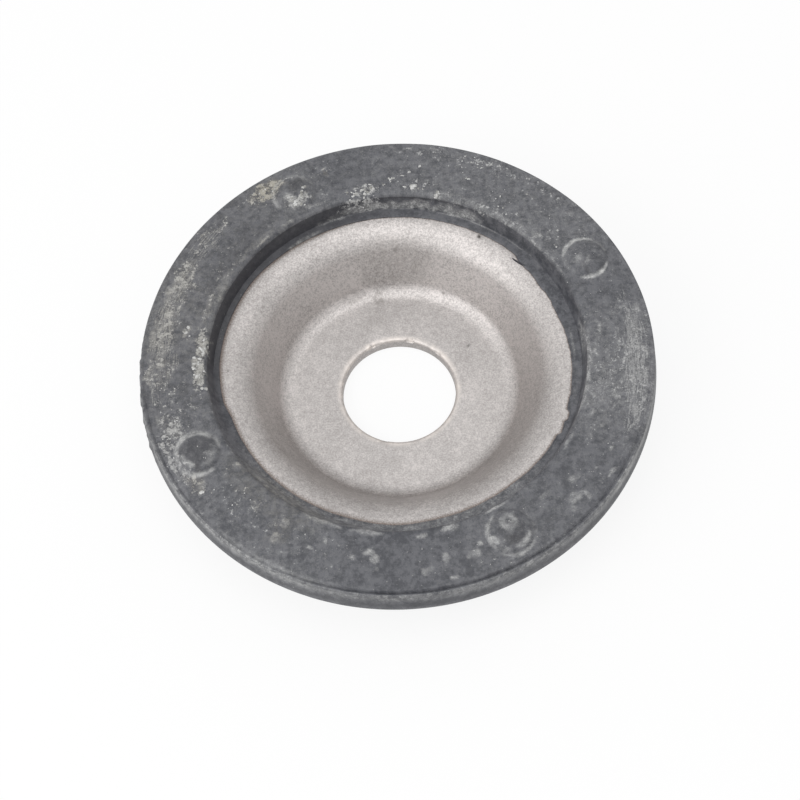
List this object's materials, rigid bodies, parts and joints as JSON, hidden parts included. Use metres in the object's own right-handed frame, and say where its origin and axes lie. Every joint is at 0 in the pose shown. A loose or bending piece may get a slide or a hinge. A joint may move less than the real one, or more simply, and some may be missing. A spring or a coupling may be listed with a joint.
{
  "type": "strut mount stop washer",
  "caption": "Dished round steel washer with a central rod hole and a black rubber ring with low nubs moulded over its rim, used as a stop in a strut mount.",
  "frame": {"origin": "centre of the flat underside of the dish, on the axis of the rod hole", "axes": "+Z along the hole's axis, from the flat underside towards the rubber ring's nubbed face; +X lies 25 degrees clockwise of a nub"},
  "size_m": [0.0662, 0.0662, 0.0128],
  "materials": {
    "steel": "matte, blasted and phosphated, lightly stained",
    "rubber": "matte, moulded, dusty and scuffed"
  },
  "bodies": {
    "root": {"dished_plate": "steel", "rubber_ring": "rubber"}
  },
  "joints": []
}
